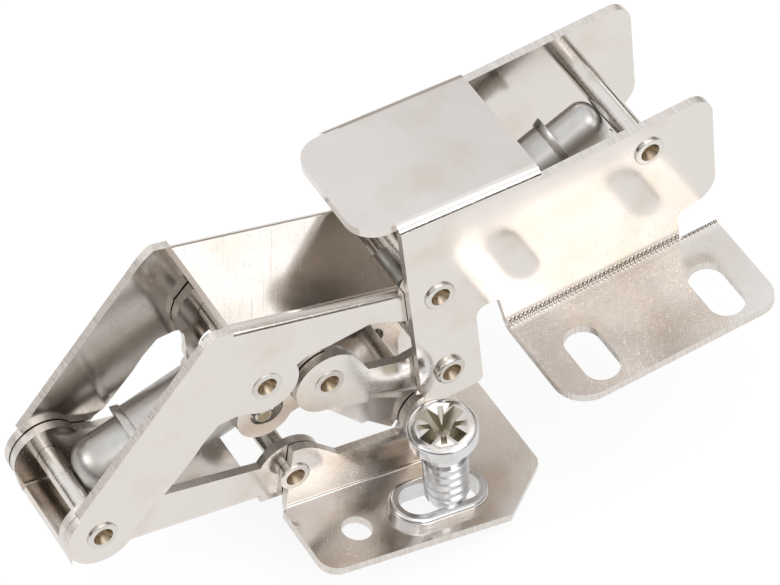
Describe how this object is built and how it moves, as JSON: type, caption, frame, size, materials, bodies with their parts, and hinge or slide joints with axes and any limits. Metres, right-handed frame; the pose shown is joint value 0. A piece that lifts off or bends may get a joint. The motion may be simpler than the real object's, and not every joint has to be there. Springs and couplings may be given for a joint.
{
  "type": "sprung cabinet hinge",
  "caption": "Sprung multi-link cabinet hinge of folded nickel-plated sheet, with slotted flanges, a folded arm, riveted links, spring units and a door plate with cross-recess screws.",
  "frame": {"origin": "middle of the slot pair next to the leg, on the flanges' mounting face", "axes": "+X runs along the flanges away from the door side, +Y across the hinge, +Z out of the mounting face towards the top plate"},
  "size_m": [0.0922, 0.051, 0.0504],
  "materials": {
    "bright_nickel": "bright nickel plate on folded sheet, lightly scratched",
    "nickel_axle": "bright nickel plate",
    "satin_nickel": "satin nickel plate, drawn",
    "spring_wire": "oiled spring wire",
    "bright_zinc": "bright zinc plate"
  },
  "bodies": {
    "cabinet": {"cabinet_bracket": "bright_nickel", "spring_axle": "nickel_axle", "arm_axle": "nickel_axle", "control_axle": "nickel_axle", "upper_spring_cup": "satin_nickel", "upper_spring": "spring_wire"},
    "arm": {"bridge_arm": "bright_nickel", "crossing_axle": "nickel_axle", "arm_end_axle": "nickel_axle", "upper_spring_pin": "nickel_axle"},
    "crossing": {"crossing_link": "bright_nickel"},
    "control": {"control_link": "bright_nickel", "link_axle": "nickel_axle"},
    "door_link": {"door_link": "bright_nickel"},
    "door": {"door_bracket": "bright_nickel", "door_axle": "nickel_axle", "near_door_rivet": "nickel_axle", "far_door_rivet": "nickel_axle", "near_screw_bush": "bright_zinc", "far_screw_bush": "bright_zinc"},
    "lower_cup": {"lower_spring_cup": "satin_nickel", "lower_spring": "spring_wire"},
    "lower_sleeve": {"lower_spring_sleeve": "satin_nickel", "lower_spring_pin": "nickel_axle"},
    "upper_sleeve": {"upper_spring_sleeve": "satin_nickel"},
    "near_screw": {"near_adjusting_screw": "bright_zinc"},
    "far_screw": {"far_adjusting_screw": "bright_zinc"}
  },
  "joints": [
    {"name": "arm_turn", "type": "hinge", "parent": "cabinet", "child": "arm", "pos_m": [-0.0151, 0, 0.01284], "axis": [0, -1, 0], "range_deg": [0, 53.6], "stiffness_Nm_per_rad": 0.2, "springref_deg": -28.65},
    {"name": "crossing_turn", "type": "hinge", "parent": "arm", "child": "crossing", "pos_m": [-0.03866, 0, 0.01024], "axis": [0, -1, 0], "range_deg": [-82.45, 0.05]},
    {"name": "control_turn", "type": "hinge", "parent": "crossing", "child": "control", "pos_m": [-0.03058, 0, 0.00513], "axis": [0, -1, 0], "range_deg": [-0.05, 119.25]},
    {"name": "door_link_turn", "type": "hinge", "parent": "arm", "child": "door_link", "pos_m": [-0.06301, 0, -0.00167], "axis": [0, -1, 0], "range_deg": [-97.95, 0.05]},
    {"name": "door_turn", "type": "hinge", "parent": "door_link", "child": "door", "pos_m": [-0.03712, 0, -0.00869], "axis": [0, -1, 0], "range_deg": [-0.05, 147.35]},
    {"name": "lower_cup_turn", "type": "hinge", "parent": "arm", "child": "lower_cup", "pos_m": [-0.06301, 0, -0.00167], "axis": [0, -1, 0], "range_deg": [-0.05, 18.58]},
    {"name": "lower_sleeve_slide", "type": "slide", "parent": "lower_cup", "child": "lower_sleeve", "axis": [0.979, 0, 0.2039], "range_m": [-0.0038, 0.00001], "deforming": ["lower_spring"]},
    {"name": "upper_sleeve_slide", "type": "slide", "parent": "cabinet", "child": "upper_sleeve", "axis": [-0.9381, 0, -0.3463], "range_m": [-0.00532, 0.00001], "deforming": ["upper_spring"]},
    {"name": "near_screw_turn", "type": "hinge", "parent": "door", "child": "near_screw", "pos_m": [-0.01986, -0.0155, -0.01831], "axis": [0.0297, 0, 0.9996], "continuous": true},
    {"name": "far_screw_turn", "type": "hinge", "parent": "door", "child": "far_screw", "pos_m": [-0.01986, 0.0155, -0.01831], "axis": [0.0297, 0, 0.9996], "continuous": true}
  ],
  "couplings": [
    {"joint": "crossing_turn", "follows": "arm_turn", "ratio": -1.5373},
    {"joint": "control_turn", "follows": "arm_turn", "ratio": 2.2239},
    {"joint": "door_link_turn", "follows": "arm_turn", "ratio": -1.8265},
    {"joint": "door_turn", "follows": "arm_turn", "ratio": 2.7481},
    {"joint": "lower_cup_turn", "follows": "arm_turn", "ratio": 0.34571},
    {"joint": "lower_sleeve_slide", "follows": "arm_turn", "m_per_rad": -0.0040513},
    {"joint": "upper_sleeve_slide", "follows": "arm_turn", "m_per_rad": -0.0056761}
  ]
}
